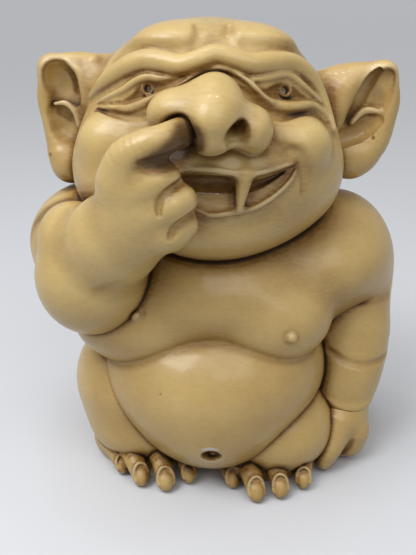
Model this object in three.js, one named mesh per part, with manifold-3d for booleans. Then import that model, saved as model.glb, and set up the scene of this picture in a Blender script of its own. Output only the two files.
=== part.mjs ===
// A squat ogre figurine with big ears and one finger up its nose, cast in separate pieces that are
// bonded over dowels and pins. Millimetres, +Z up, the figure faces -Y, its own left is +X.
// The origin is the middle of the base plate's felt, on the table.
import * as THREE from 'three';
import { mergeVertices } from 'three/addons/utils/BufferGeometryUtils.js';
import Module from 'manifold-3d';

const wasm = await Module();
wasm.setup();

// Driving dimensions: castings
const torsoWall = 8;
const headWall = 16;
const headFloor = 9;
const torsoFloor = 15;
const glueGap = 0.3;

// Driving dimensions: torso
const bellyWidth = 164;
const bellyDepth = 168;
const bellyHeight = 112;
const bellyMiddle = 70;
const paunchWidth = 104;
const paunchDepth = 128;
const paunchHeight = 84;
const seatWidth = 172;
const seatDepth = 148;
const seatHeight = 124;
const seatMiddle = 48;
const chestWidth = 176;
const chestDepth = 128;
const chestHeight = 100;
const chestMiddle = 138;
const breastSpan = 84;
const breastWidth = 90;
const breastDepth = 77;
const breastHeight = 66;
const sternumWidth = 100;
const sternumDepth = 100;
const sternumHeight = 62;
const shoulderSpan = 272;
const shoulderWidth = 92;
const shoulderDepth = 84;
const shoulderHeight = 112;
const pectoralWidth = 76;
const pectoralDepth = 72;
const pectoralHeight = 52;

// Driving dimensions: head
const headMiddle = 240;
const skullWidth = 142;
const skullDepth = 136;
const skullHeight = 112;
const foreheadWidth = 124;
const foreheadDepth = 92;
const foreheadHeight = 68;
const cheekSpan = 176;
const cheekWidth = 84;
const cheekDepth = 96;
const cheekHeight = 88;
const chinWidth = 96;
const chinDepth = 72;
const chinHeight = 56;
const muzzleWidth = 92;
const muzzleDepth = 60;
const muzzleHeight = 56;
const napeWidth = 144;
const napeDepth = 104;
const napeHeight = 88;
const noseReach = 40;
const noseWidth = 70;
const noseTipDiameter = 37;
const noseLobeDiameter = 25;
const alaWidth = 27;
const alaDepth = 34;
const alaHeight = 28;
const pinchedAlaHeight = 21;
const nostrilDiameter = 11;
const mouthWidth = 72;
const mouthHeight = 20;
const toothDiameter = 9;
const lipDiameter = 8;
const eyeSpacing = 77;
const eyeWidth = 24;
const eyeDepth = 16;
const eyeHeight = 13;
const browDiameter = 13.5;
const earReach = 44;
const rightEarReach = 28;
const earHeight = 74;
const earBodyWidth = 54;
const earCupDiameter = 24;
const earThickness = 30;

// Driving dimensions: arms and hands
const upperArmDiameter = 60;
const forearmDiameter = 54;
const wristDiameter = 40;
const raisedShoulderDiameter = 76;
const raisedArmDiameter = 72;
const raisedArmReach = 74;
const foldDiameter = 46;
const raisedWristDiameter = 56;
const heelWidth = 54;
const heelDepth = 42;
const heelHeight = 50;
const palmWidth = 49;
const palmDepth = 36;
const palmHeight = 64;
const fingerDiameter = 21;

// Driving dimensions: legs and feet
const hipSpan = 106;
const hipHeight = 52;
const restingHipHeight = 32;
const thighWidth = 86;
const thighDepth = 102;
const thighHeight = 88;
const restingThighHeight = 68;
const kneeWidth = 73;
const kneeDepth = 68;
const kneeHeight = 52;
const footLength = 84;
const footHeight = 28;
const toeDiameter = 17;
const toePitch = 16;
const toeCount = 4;
const clawDiameter = 11;

// Driving dimensions: joinery and base
const neckDowelDiameter = 28;
const neckDowelLength = 48;
const limbDowelDiameter = 10;
const limbDowelLength = 34;
const hipPegDiameter = 8;
const hipPegLength = 14;
const pinDiameter = 6;
const wristPinLength = 30;
const anklePinLength = 18;
const earPinLength = 24;
const earPinPitch = 26;
const socketClearance = 0.2;
const plateDiameter = 72;
const plateThickness = 6;
const feltThickness = 2;
const pourHoleDiameter = 56;

// Facets: how finely the clay forms are cut
const bigFacets = 7;
const smallFacets = 4;
const hollowFacets = 3;
const runSides = 9;
const rodSides = 16;

const v3 = (x, y, z) => new THREE.Vector3(x, y, z);
const sides = [-1, 1];

// Clay forms: a form tells how far a point lies outside its skin

// An egg of a given width, depth and height
function egg(middle, width, depth, height) {
  const [a, b, c] = [width / 2, depth / 2, height / 2];
  return (p) => {
    const [x, y, z] = [p.x - middle.x, p.y - middle.y, p.z - middle.z];
    const near = Math.hypot(x / a, y / b, z / c);
    const slope = Math.hypot(x / (a * a), y / (b * b), z / (c * c));
    return slope > 0 ? (near * (near - 1)) / slope : -Math.min(a, b, c);
  };
}

// A run of clay through stations, each a point with a diameter
function run(stations) {
  return (p) => {
    let least = Infinity;
    for (let i = 1; i < stations.length; i++) {
      const [from, to] = [stations[i - 1], stations[i]];
      const along = to.at.clone().sub(from.at);
      const share = THREE.MathUtils.clamp(p.clone().sub(from.at).dot(along) / along.lengthSq(), 0, 1);
      const radius = THREE.MathUtils.lerp(from.diameter, to.diameter, share) / 2;
      least = Math.min(least, p.distanceTo(along.multiplyScalar(share).add(from.at)) - radius);
    }
    return least;
  };
}

const station = (at, diameter) => ({ at, diameter });

function softMin(a, b, blend) {
  const share = Math.max(blend - Math.abs(a - b), 0) / blend;
  return Math.min(a, b) - (share * share * blend) / 4;
}

// Forms pressed together, with a fillet as wide as the blend
const pressed = (blend, ...forms) => (p) => forms.map((f) => f(p)).reduce((a, b) => softMin(a, b, blend));

// Solids

function solidOf(geometry) {
  const bare = geometry.clone();
  bare.deleteAttribute('normal');
  bare.deleteAttribute('uv');
  const merged = mergeVertices(bare, 1e-4);
  return new wasm.Manifold(new wasm.Mesh({
    numProp: 3,
    vertProperties: new Float32Array(merged.attributes.position.array),
    triVerts: new Uint32Array(merged.index.array),
  }));
}

// Where a ray from inside a form leaves its skin for the last time
function skinAlong(form, from, direction, grow) {
  const spot = v3(0, 0, 0);
  let reach = 260;
  while (reach > 1) {
    const gap = form(spot.copy(direction).multiplyScalar(reach).add(from)) - grow;
    if (gap < 0.01) break;
    reach -= Math.max(gap * 0.7, 0.02);
  }
  return reach;
}

// The skin of a form as a ball of facets pulled onto it, seen from a point inside
function cast(form, from, facets, grow = 0) {
  const shape = new THREE.IcosahedronGeometry(1, facets);
  const corners = shape.attributes.position;
  const direction = v3(0, 0, 0);
  for (let i = 0; i < corners.count; i++) {
    direction.fromBufferAttribute(corners, i).normalize();
    for (const axis of ['x', 'y', 'z']) direction[axis] = Math.round(direction[axis] * 1e6) / 1e6;
    const spot = direction.clone().multiplyScalar(skinAlong(form, from, direction, grow)).add(from);
    corners.setXYZ(i, spot.x, spot.y, spot.z);
  }
  return solidOf(shape);
}

// A run of clay as rings along a smooth curve, rounded at both ends
function runSolid(stations, steps = 3, grow = 0) {
  const curve = new THREE.CatmullRomCurve3(stations.map((s) => s.at));
  const count = steps * (stations.length - 1);
  const frames = curve.computeFrenetFrames(count, false);
  const rings = [];
  for (let i = 0; i <= count; i++) {
    const share = (i / count) * (stations.length - 1);
    const low = Math.min(Math.floor(share), stations.length - 2);
    const width = THREE.MathUtils.lerp(stations[low].diameter, stations[low + 1].diameter, share - low);
    const radius = width / 2 + grow;
    const tangent = frames.tangents[i];
    const ring = { at: curve.getPoint(i / count), radius, side: frames.normals[i], up: frames.binormals[i] };
    const cap = (turn, way) => ({
      ...ring,
      at: ring.at.clone().addScaledVector(tangent, way * radius * Math.sin(turn)),
      radius: radius * Math.cos(turn),
    });
    if (i === 0) rings.push(cap(1.15, -1), cap(0.6, -1));
    rings.push(ring);
    if (i === count) rings.push(cap(0.6, 1), cap(1.15, 1));
  }
  const corners = [];
  for (const ring of rings) {
    for (let s = 0; s < runSides; s++) {
      const turn = (s / runSides) * 2 * Math.PI;
      const spot = ring.at.clone()
        .addScaledVector(ring.side, Math.cos(turn) * ring.radius)
        .addScaledVector(ring.up, Math.sin(turn) * ring.radius);
      corners.push(spot.x, spot.y, spot.z);
    }
  }
  const faces = [];
  const last = (rings.length - 1) * runSides;
  for (let r = 0; r < rings.length - 1; r++) {
    for (let s = 0; s < runSides; s++) {
      const [a, b] = [r * runSides + s, r * runSides + ((s + 1) % runSides)];
      faces.push(a, b, b + runSides, a, b + runSides, a + runSides);
    }
  }
  for (let s = 1; s < runSides - 1; s++) {
    faces.push(0, s + 1, s, last, last + s, last + s + 1);
  }
  const geometry = new THREE.BufferGeometry();
  geometry.setAttribute('position', new THREE.Float32BufferAttribute(corners, 3));
  geometry.setIndex(faces);
  return solidOf(geometry);
}

// A round rod, its middle at a point and its axis along a direction
function rodMesh(diameter, length, middle, direction) {
  const mesh = new THREE.Mesh(new THREE.CylinderGeometry(diameter / 2, diameter / 2, length, rodSides));
  mesh.position.copy(middle);
  mesh.quaternion.setFromUnitVectors(v3(0, 1, 0), direction.clone().normalize());
  mesh.updateMatrix();
  return mesh;
}

const rodSolid = (...sizes) => {
  const mesh = rodMesh(...sizes);
  return solidOf(mesh.geometry.clone().applyMatrix4(mesh.matrix));
};

// Everything above a level, as one block that is larger than the figure
const blockSize = 3 * shoulderSpan;
function above(level) {
  const block = new THREE.BoxGeometry(blockSize, blockSize, blockSize);
  block.translate(0, 0, level + blockSize / 2);
  return solidOf(block);
}

const unite = (...solids) => solids.reduce((a, b) => a.add(b));
const cutBy = (solid, ...tools) => tools.reduce((a, b) => a.subtract(b), solid);

// The largest body of a cut solid: offcuts are thrown away
const mainBody = (solid) => solid.decompose().reduce((a, b) => (b.volume() > a.volume() ? b : a));

// Torso: belly and seat, under a chest with breasts and shoulders

const table = above(0);
const shoulderOut = (shoulderSpan - shoulderWidth) / 2;
const leftShoulder = v3(shoulderOut, 12, chestMiddle - 10);
const rightShoulder = v3(27 - shoulderOut, 14, chestMiddle);
const belly = pressed(24,
  egg(v3(3, -16, bellyMiddle), bellyWidth, bellyDepth, bellyHeight),
  egg(v3(4, -28, paunchHeight / 2), paunchWidth, paunchDepth, paunchHeight),
  egg(v3(0, 20, seatMiddle), seatWidth, seatDepth, seatHeight));
const breastAt = (s) => v3(s * breastSpan / 2, -43, chestMiddle - 23);
const chest = pressed(22,
  egg(v3(0, 5, chestMiddle), chestWidth, chestDepth, chestHeight),
  ...sides.map((s) => egg(breastAt(s), breastWidth, breastDepth, breastHeight)),
  egg(v3(0, -30, chestMiddle - 5), sternumWidth, sternumDepth, sternumHeight),
  egg(leftShoulder, shoulderWidth, shoulderDepth, shoulderHeight),
  egg(leftShoulder.clone().add(v3(-10, -26, 14)), pectoralWidth, pectoralDepth, pectoralHeight),
  egg(rightShoulder, shoulderWidth - 8, shoulderDepth, shoulderHeight - 20));
const torso = pressed(3, belly, chest);
const torsoFrom = v3(0, 5, (chestMiddle * 2) / 3);
const torsoSkin = (grow) => unite(
  cast(belly, v3(0, 0, bellyMiddle), bigFacets, grow),
  cast(chest, v3(0, 0, chestMiddle), bigFacets, grow));

// Head: skull, forehead, cheeks, chin, muzzle and nape; then the nose, brow, eyes, lips and tooth

const headAt = v3(0, 8, headMiddle);
const face = (x, y, z) => v3(x, y, z).add(headAt);
const faceMiddle = 4;
const cheekOut = (cheekSpan - cheekWidth) / 2;
const skull = pressed(24,
  egg(headAt, skullWidth, skullDepth, skullHeight),
  egg(face(0, -22, 18), foreheadWidth, foreheadDepth, foreheadHeight),
  ...sides.map((s) => egg(face(s * cheekOut, -24, -32), cheekWidth, cheekDepth, cheekHeight)),
  egg(face(faceMiddle, -54, -56), chinWidth, chinDepth, chinHeight),
  egg(face(faceMiddle, -62, -26), muzzleWidth, muzzleDepth, muzzleHeight),
  egg(face(0, 12, -35), napeWidth, napeDepth, napeHeight));
const headFrom = face(0, -8, -14);

// A point on the front of the skull, raised by a lift
function onFace(x, z, lift) {
  const from = face(x, 0, z);
  return from.clone().addScaledVector(v3(0, -1, 0), skinAlong(skull, from, v3(0, -1, 0), 0) + lift);
}

const noseRoot = onFace(faceMiddle, 21, -4);
const noseTip = onFace(faceMiddle, 10, noseReach - noseTipDiameter / 2);
const alaAt = (s) => noseTip.clone().add(v3(s * (noseWidth / 2 - 14), 6, s > 0 ? -8 : 1));
const nose = pressed(9,
  run([
    station(noseRoot, noseTipDiameter * 0.4),
    station(noseRoot.clone().lerp(noseTip, 0.5), noseTipDiameter * 0.75),
    station(noseTip, noseTipDiameter),
  ]),
  egg(noseTip.clone().add(v3(0, -9, -6)), noseLobeDiameter, noseLobeDiameter, noseLobeDiameter),
  ...sides.map((s) => egg(alaAt(s), alaWidth, alaDepth, s > 0 ? alaHeight : pinchedAlaHeight)));
const browAcross = [
  [-70, 15], [-48, 31], [-34, 36], [-15, 34], [4, 39], [24, 34], [46, 34], [61, 25], [73, 6],
];
const brow = browAcross.map(([x, z]) => station(onFace(x, z, -1), browDiameter));
const eyeAt = (s) => onFace(faceMiddle + s * eyeSpacing / 2, 21, -3);
const mouthMiddle = onFace(faceMiddle + 12, -34, -2);
const lipAt = (share, rise) => station(onFace(mouthMiddle.x + share * mouthWidth, rise, 0), lipDiameter);
const upperLip = [lipAt(-0.5, -24), lipAt(-0.2, -20), lipAt(0.1, -23), lipAt(0.35, -22), lipAt(0.55, -20)];
const lowerLip = [lipAt(-0.35, -43), lipAt(-0.1, -47), lipAt(0.15, -45), lipAt(0.4, -36), lipAt(0.56, -22)];
const headSkin = (grow) => unite(
  cast(skull, headFrom, bigFacets, grow),
  cast(nose, noseTip.clone().add(v3(0, 10, 0)), smallFacets, grow),
  runSolid(brow, 1, grow),
  runSolid(upperLip, 1, grow),
  runSolid(lowerLip, 1, grow),
  ...sides.map((s) => cast(egg(eyeAt(s), eyeWidth, eyeDepth, eyeHeight), eyeAt(s), 2, grow)));

const nostrilTop = (s) => noseTip.clone().add(s > 0 ? v3(10, -2, -3) : v3(-15, 1, -7));
const nostrilSize = (s) => (s < 0 ? fingerDiameter : nostrilDiameter);
const nostrils = sides.map((s) => runSolid([
  station(nostrilTop(s).add(v3(0, -28, -10)), nostrilSize(s)),
  station(nostrilTop(s), nostrilSize(s)),
], 1));
const mouth = runSolid([
  station(mouthMiddle.clone().add(v3(-mouthWidth * 0.45, 8, 2)), mouthHeight * 0.35),
  station(mouthMiddle.clone().add(v3(-mouthWidth * 0.1, -1, 0)), mouthHeight),
  station(mouthMiddle.clone().add(v3(mouthWidth * 0.15, 1, 0)), mouthHeight),
  station(mouthMiddle.clone().add(v3(mouthWidth * 0.5, 18, 9)), mouthHeight * 0.35),
]);
const tooth = runSolid([
  station(mouthMiddle.clone().add(v3(4, 4, mouthHeight / 2 + 2)), toothDiameter),
  station(mouthMiddle.clone().add(v3(3, 1, -mouthHeight * 0.3)), toothDiameter * 0.8),
], 1);

// Ears: a drawn-out leaf with a cupped front

const earAt = (s) => face(s * cheekSpan / 2, -2, 0);
const earHigh = earHeight / 2 - 10;
function earSkin(s) {
  const at = (x, y, z) => earAt(s).add(v3(s * x, y, z));
  const reach = s > 0 ? earReach : rightEarReach;
  const rim = earThickness / 2;
  const leaf = pressed(10,
    run([
      station(at(-14, 2, earHigh - 4), rim + 9),
      station(at(8, 0, earHigh), rim + 5),
      station(at(reach - 16, -4, earHigh), rim),
    ]),
    run([
      station(at(reach - 14, -4, earHigh), rim),
      station(at(reach - 12, -4, 4), rim),
      station(at(reach - 18, -4, -earHigh * 0.6), rim + 2),
      station(at(4, -2, -earHigh), rim + 9),
    ]),
    egg(at(2, 3, 0), earBodyWidth, earThickness, earHeight - 4));
  const lowCup = at(reach * 0.3, -14, -12);
  const cups = [
    runSolid([
      station(at(reach - 23, -13, earHigh - 5), earCupDiameter - 10),
      station(at(reach * 0.3, -14, 11), earCupDiameter + 1),
      station(at(reach * 0.16, -15, 2), earCupDiameter - 6),
    ], 2),
    cast(egg(lowCup, earCupDiameter, earCupDiameter, earCupDiameter + 1), lowCup, 2),
  ];
  return cutBy(cast(leaf, at(8, 4, 0), smallFacets), ...cups);
}

// Left arm, hanging beside the thigh: upper arm, forearm and a loose fist with its thumb out

const hipAt = (s) => v3(s * hipSpan / 2, -22 - 4 * s, s > 0 ? restingHipHeight : hipHeight);
const leftWrist = hipAt(1).add(v3(thighWidth / 2, -7, 4));
const leftElbow = leftShoulder.clone().lerp(leftWrist, 0.5).add(v3(9, -3, -6));
const leftArm = (grow) => unite(
  runSolid([
    station(leftShoulder.clone().add(v3(9, -8, -17)), upperArmDiameter - 2),
    station(leftElbow.clone().add(v3(-1, 6, 15)), upperArmDiameter),
    station(leftElbow, upperArmDiameter - 5),
  ], 3, grow),
  runSolid([
    station(leftElbow.clone().add(v3(-1, -2, -4)), forearmDiameter + 2),
    station(leftElbow.clone().lerp(leftWrist, 0.35), forearmDiameter - 1),
    station(leftElbow.clone().lerp(leftWrist, 0.62), wristDiameter + 6),
  ], 3, grow));
const leftPalmAt = v3(leftWrist.x + 1, leftWrist.y - 6, 20);
const leftHand = unite(
  runSolid([
    station(leftWrist.clone().lerp(leftElbow, 0.12), wristDiameter - 3),
    station(leftPalmAt.clone().add(v3(-2, 2, 8)), wristDiameter - 3),
    station(leftPalmAt, wristDiameter - 10),
  ]),
  runSolid([
    station(leftPalmAt.clone().add(v3(-6, -8, 12)), fingerDiameter + 5),
    station(leftPalmAt.clone().add(v3(-13, -17, -2)), fingerDiameter - 1),
    station(leftPalmAt.clone().add(v3(-16, -21, -11)), fingerDiameter - 8),
  ]),
  runSolid([
    station(leftPalmAt.clone().add(v3(8, -6, 2)), fingerDiameter - 3),
    station(leftPalmAt.clone().add(v3(5, -6, -8)), fingerDiameter - 4),
    station(leftPalmAt.clone().add(v3(0, -4, -11)), fingerDiameter - 6),
  ]));

// Right arm, raised: a folded fat arm, and a hand that reaches the nostril

const rightElbow = rightShoulder.clone().add(v3(-10, -raisedArmReach, 11));
const deltoid = rightShoulder.clone().add(v3(-20, 0, 12));
const fingerEnd = nostrilTop(-1).add(v3(2, -12, -1));
const palmAt = fingerEnd.clone().add(v3(-28, -1, -38));
const rightWristAt = rightElbow.clone().lerp(palmAt, 0.55);
const rightForearm = pressed(12,
  egg(rightElbow, raisedArmDiameter, raisedArmDiameter, raisedArmDiameter + 4),
  egg(rightElbow.clone().add(v3(-10, 2, 27)), foldDiameter, foldDiameter, foldDiameter - 6),
  egg(rightWristAt, raisedWristDiameter, raisedWristDiameter - 8, raisedWristDiameter));
const rightArm = (grow) => unite(
  runSolid([
    station(deltoid, raisedShoulderDiameter),
    station(deltoid.clone().lerp(rightElbow, 0.45).add(v3(-4, 0, 0)), raisedArmDiameter + 2),
    station(rightElbow.clone().add(v3(-3, 14, -7)), raisedArmDiameter - 10),
  ], 3, grow),
  cast(rightForearm, rightElbow, smallFacets, grow));
const palm = cast(pressed(10,
  egg(rightWristAt.clone().add(v3(1, -4, 4)), heelWidth, heelDepth, heelHeight),
  egg(palmAt, palmWidth, palmDepth, palmHeight)), palmAt, smallFacets - 1);
const indexFinger = runSolid([
  station(palmAt.clone().add(v3(-9, -3, 16)), fingerDiameter + 4),
  station(palmAt.clone().add(v3(-5, -7, 27)), fingerDiameter + 2),
  station(palmAt.clone().add(v3(6, -10, 34)), fingerDiameter - 1),
  station(fingerEnd.clone().add(v3(-10, -9, -1)), fingerDiameter - 2),
  station(fingerEnd, fingerDiameter - 3),
], 2);
const curledFingers = [0, 1, 2].map((i) => {
  const root = palmAt.clone().add(v3(4.5 * i - 2, -3, 5 - 13 * i));
  return runSolid([
    station(root, fingerDiameter - i),
    station(root.clone().add(v3(7, -7 + i, 5.5)), fingerDiameter - 2 - i),
    station(root.clone().add(v3(13, -8 + i, 13)), fingerDiameter - 4 - i),
    station(root.clone().add(v3(17, -2 + i, 18)), fingerDiameter - 6.5 - i),
  ], 2);
});
const rightHand = unite(palm, indexFinger, ...curledFingers);

// Legs and feet

const kneeAt = (s) => hipAt(s).add(v3(-6 * s, -20 - 3 * s, s > 0 ? -5 : -22));
const leg = (s) => pressed(14,
  egg(hipAt(s), thighWidth, thighDepth, s > 0 ? restingThighHeight : thighHeight),
  egg(kneeAt(s), kneeWidth, kneeDepth, kneeHeight));
const legSkin = (s, grow = 0) => cast(leg(s), hipAt(s).lerp(kneeAt(s), 0.4), smallFacets, grow);
const footAt = (s) => hipAt(s).add(v3(s > 0 ? -11 : 16, 22 - footLength / 2, 0)).setZ(0);
const toeLead = (s) => (s > 0 ? 2 : 8);
function foot(s, grow = 0) {
  const sole = cast(egg(footAt(s), toePitch * toeCount + 6, footLength, footHeight * 2),
    footAt(s).setZ(footHeight / 2), smallFacets - 1, grow);
  const toes = [];
  for (let i = 0; i < toeCount; i++) {
    const across = (i - (toeCount - 1) / 2) * toePitch;
    const back = 0.019 * (across - toeLead(s)) ** 2;
    const root = footAt(s).add(v3(across * 0.94, 35 - footLength / 2, footHeight / 2));
    const knuckle = root.clone().add(v3(across * 0.06, back - 20, -4));
    const tip = knuckle.clone().add(v3(0, -8, -1));
    const clawTip = tip.clone().add(v3(0, -12, -3.5));
    const bend = station(knuckle, toeDiameter + 1);
    const joints = [station(root, toeDiameter + 5), bend, station(tip, toeDiameter)];
    const claw = [station(tip, clawDiameter), station(clawTip, clawDiameter - 2.5)];
    toes.push(runSolid(joints, 1, grow), runSolid(claw, 1, grow));
  }
  return unite(sole, ...toes).intersect(table);
}

// Joinery: each dowel or pin and the seat that it sits across

// Where a form's skin is met along a line from a point inside it
const seatOn = (form, from, direction) => {
  const way = direction.clone().normalize();
  return from.clone().addScaledVector(way, skinAlong(form, from, way, 0));
};
const neckSeat = seatOn(torso, v3(0, 12, chestMiddle), v3(0, 0, 1));
const hipSeat = (s) => seatOn(torso, hipAt(s).setX(0).add(v3(0, 2, s > 0 ? -2 : -16)), v3(s, 0, 0));
const earSeat = (s, rise) => seatOn(skull, face(0, 0, rise), v3(s, 0, 0));
const ankleSeat = (s) => seatOn(leg(s), kneeAt(s).setZ(footHeight / 3), v3(0, -1, 0));
const leftArmAxis = leftElbow.clone().sub(leftShoulder).add(v3(-6, 12, 4));
const rightArmAxis = deltoid.clone().sub(rightShoulder);
const leftArmSeat = seatOn(torso, leftShoulder, leftArmAxis);
const rightArmSeat = seatOn(torso, rightShoulder, rightArmAxis);
const wristDown = leftPalmAt.clone().sub(leftWrist);
const wristUp = palmAt.clone().sub(rightWristAt);
const rods = {
  neck_dowel: [neckDowelDiameter, neckDowelLength, neckSeat, v3(0, 0, 1)],
  left_shoulder_dowel: [limbDowelDiameter, limbDowelLength, leftArmSeat, leftArmAxis],
  right_shoulder_dowel: [limbDowelDiameter, limbDowelLength, rightArmSeat, rightArmAxis],
  left_wrist_pin: [pinDiameter, wristPinLength, leftWrist.clone().add(v3(pinDiameter, 0, 0)), wristDown],
  right_wrist_pin: [pinDiameter, wristPinLength, rightWristAt.clone().lerp(palmAt, 0.5), wristUp],
};
for (const [s, side] of [[1, 'left'], [-1, 'right']]) {
  rods[`${side}_hip_peg`] = [hipPegDiameter, hipPegLength, hipSeat(s), v3(s, 0, 0)];
  const ankle = ankleSeat(s).add(v3(0, anklePinLength / 6, 0));
  rods[`${side}_ankle_pin`] = [pinDiameter, anklePinLength, ankle, v3(0, 1, 0)];
  for (const [level, word] of [[0.5, 'upper'], [-0.5, 'lower']]) {
    const seat = earSeat(s, level * earPinPitch);
    rods[`${side}_ear_${word}_pin`] = [pinDiameter, earPinLength, seat, v3(s, 0, 0)];
  }
}
const socket = (name) => {
  const [diameter, length, middle, direction] = rods[name];
  return rodSolid(diameter + 2 * socketClearance, length + 2 * socketClearance, middle, direction);
};
const sockets = (...words) => Object.keys(rods)
  .filter((name) => words.some((word) => name.includes(word)))
  .map(socket);

// Castings: each is cut back from the larger ones that it is bonded to

const torsoOuter = torsoSkin(0).intersect(table);
const torsoFat = torsoSkin(glueGap);
const headOuter = cutBy(headSkin(0), mouth, ...nostrils).add(tooth);
const headFat = headSkin(glueGap);
const torsoHollow = cast(torso, torsoFrom, hollowFacets, -torsoWall).intersect(above(torsoFloor));
const headHollow = cast(skull, headFrom, hollowFacets, -headWall).intersect(above(neckSeat.z + headFloor));
const onBase = (diameter, from, to) => rodSolid(diameter, to - from, v3(0, 0, (from + to) / 2), v3(0, 0, 1));
const plateTop = feltThickness + plateThickness;
const pourHole = onBase(pourHoleDiameter, -1, torsoFloor + 1);
const rebate = onBase(plateDiameter + 2 * socketClearance, -1, plateTop + socketClearance);
const torsoCasting = cutBy(torsoOuter, torsoHollow, pourHole, rebate,
  ...sockets('neck', 'shoulder', 'hip', 'ankle'));
const headCasting = cutBy(headOuter, torsoFat, headHollow, ...sockets('neck', 'ear'));
const rightArmWhole = cutBy(rightArm(0), torsoFat, headFat);
const leftArmWhole = cutBy(leftArm(0), torsoFat);
const legWhole = (s) => cutBy(legSkin(s), torsoFat).intersect(table);
const footWhole = (s) => cutBy(foot(s), torsoFat, legSkin(s, glueGap));
const castings = {
  torso_casting: torsoCasting,
  head_casting: headCasting,
  left_arm_casting: cutBy(leftArmWhole, legSkin(1, glueGap), ...sockets('left_shoulder', 'left_wrist')),
  left_hand_casting: cutBy(leftHand.intersect(above(1)), torsoFat, leftArm(glueGap), legSkin(1, glueGap),
    foot(1, glueGap), ...sockets('left_wrist')),
  right_arm_casting: cutBy(rightArmWhole, ...sockets('right_shoulder', 'right_wrist')),
  right_hand_casting: cutBy(rightHand, torsoFat, rightArm(glueGap), cutBy(headFat, ...nostrils),
    ...sockets('right_wrist')),
};
for (const [s, side] of [[1, 'left'], [-1, 'right']]) {
  castings[`${side}_ear_casting`] = cutBy(earSkin(s), headFat, ...sockets(`${side}_ear`));
  castings[`${side}_leg_casting`] = cutBy(legWhole(s), ...sockets(`${side}_hip`, `${side}_ankle`));
  castings[`${side}_foot_casting`] = cutBy(footWhole(s), ...sockets(`${side}_ankle`));
}

// The assembled figure

const finish = {
  resin: new THREE.MeshStandardMaterial({ color: 0xc3a56c, roughness: 0.42, metalness: 0 }),
  beech: new THREE.MeshStandardMaterial({ color: 0xc89b6a, roughness: 0.7, metalness: 0 }),
  hardboard: new THREE.MeshStandardMaterial({ color: 0x6b4a2e, roughness: 0.8, metalness: 0 }),
  felt: new THREE.MeshStandardMaterial({ color: 0x2e4634, roughness: 1, metalness: 0 }),
};

// A group hung at a point of the figure; what is put on it keeps its place in the figure
function groupAt(parent, at) {
  const made = new THREE.Group();
  made.position.copy(at);
  parent.add(made);
  return made;
}

function putSolid(group, name, solid) {
  const { vertProperties, triVerts, numProp, numVert } = mainBody(solid).getMesh();
  const spots = new Float32Array(numVert * 3);
  for (let i = 0; i < numVert; i++) spots.set(vertProperties.subarray(i * numProp, i * numProp + 3), i * 3);
  const geometry = new THREE.BufferGeometry();
  geometry.setAttribute('position', new THREE.BufferAttribute(spots, 3));
  geometry.setIndex(new THREE.BufferAttribute(new Uint32Array(triVerts), 1));
  geometry.translate(-group.position.x, -group.position.y, -group.position.z);
  geometry.computeVertexNormals();
  const mesh = new THREE.Mesh(geometry, finish.resin.clone());
  mesh.name = name;
  group.add(mesh);
}

function putRod(group, name, sizes, material) {
  const mesh = rodMesh(...sizes);
  mesh.name = name;
  mesh.material = material.clone();
  mesh.position.sub(group.position);
  group.add(mesh);
}

const figure = new THREE.Group();
const groups = {
  torso: groupAt(figure, torsoFrom.clone()),
  head: groupAt(figure, headAt.clone()),
  left_arm: groupAt(figure, leftShoulder.clone()),
  right_arm: groupAt(figure, rightShoulder.clone()),
  left_leg: groupAt(figure, hipAt(1)),
  right_leg: groupAt(figure, hipAt(-1)),
};
const limbs = {
  torso: 'torso', neck: 'torso', head: 'head', ear: 'head', arm: 'arm', hand: 'arm', shoulder: 'arm',
  wrist: 'arm', leg: 'leg', foot: 'leg', hip: 'leg', ankle: 'leg',
};
function groupFor(name) {
  const word = name.split('_').find((w) => limbs[w]);
  return groups[limbs[word]] ?? groups[`${name.split('_')[0]}_${limbs[word]}`];
}
for (const [name, solid] of Object.entries(castings)) putSolid(groupFor(name), name, solid);
for (const [name, sizes] of Object.entries(rods)) putRod(groupFor(name), name, sizes, finish.beech);
const baseDisc = (from, to) => [plateDiameter, to - from, v3(0, 0, (from + to) / 2), v3(0, 0, 1)];
putRod(groups.torso, 'base_plate', baseDisc(feltThickness, plateTop), finish.hardboard);
putRod(groups.torso, 'base_felt', baseDisc(0, feltThickness), finish.felt);

export default figure;
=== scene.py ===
import math

import bpy
import numpy as np
import openvdb
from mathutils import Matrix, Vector


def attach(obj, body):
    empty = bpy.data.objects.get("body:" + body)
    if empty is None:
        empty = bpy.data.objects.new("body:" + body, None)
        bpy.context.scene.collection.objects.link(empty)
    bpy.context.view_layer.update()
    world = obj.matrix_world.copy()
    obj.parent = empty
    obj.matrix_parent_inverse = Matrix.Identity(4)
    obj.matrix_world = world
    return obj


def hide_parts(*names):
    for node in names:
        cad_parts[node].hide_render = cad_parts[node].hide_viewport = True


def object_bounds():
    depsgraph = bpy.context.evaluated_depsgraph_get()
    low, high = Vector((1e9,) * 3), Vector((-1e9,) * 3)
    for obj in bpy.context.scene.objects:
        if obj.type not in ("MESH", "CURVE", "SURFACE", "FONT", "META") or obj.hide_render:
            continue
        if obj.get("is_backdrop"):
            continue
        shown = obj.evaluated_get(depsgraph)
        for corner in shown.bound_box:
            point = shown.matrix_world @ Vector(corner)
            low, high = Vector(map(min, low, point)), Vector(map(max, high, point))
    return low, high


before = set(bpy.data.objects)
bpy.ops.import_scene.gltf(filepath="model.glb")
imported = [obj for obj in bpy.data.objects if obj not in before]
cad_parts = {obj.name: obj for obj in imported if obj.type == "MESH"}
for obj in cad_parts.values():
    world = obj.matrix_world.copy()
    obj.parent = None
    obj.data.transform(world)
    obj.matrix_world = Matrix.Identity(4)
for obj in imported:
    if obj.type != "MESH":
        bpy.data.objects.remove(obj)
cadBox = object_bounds()
scene = bpy.context.scene
bpy.ops.object.select_all(action="DESELECT")
print("frame loaded,", len(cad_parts), "nodes")

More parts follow.
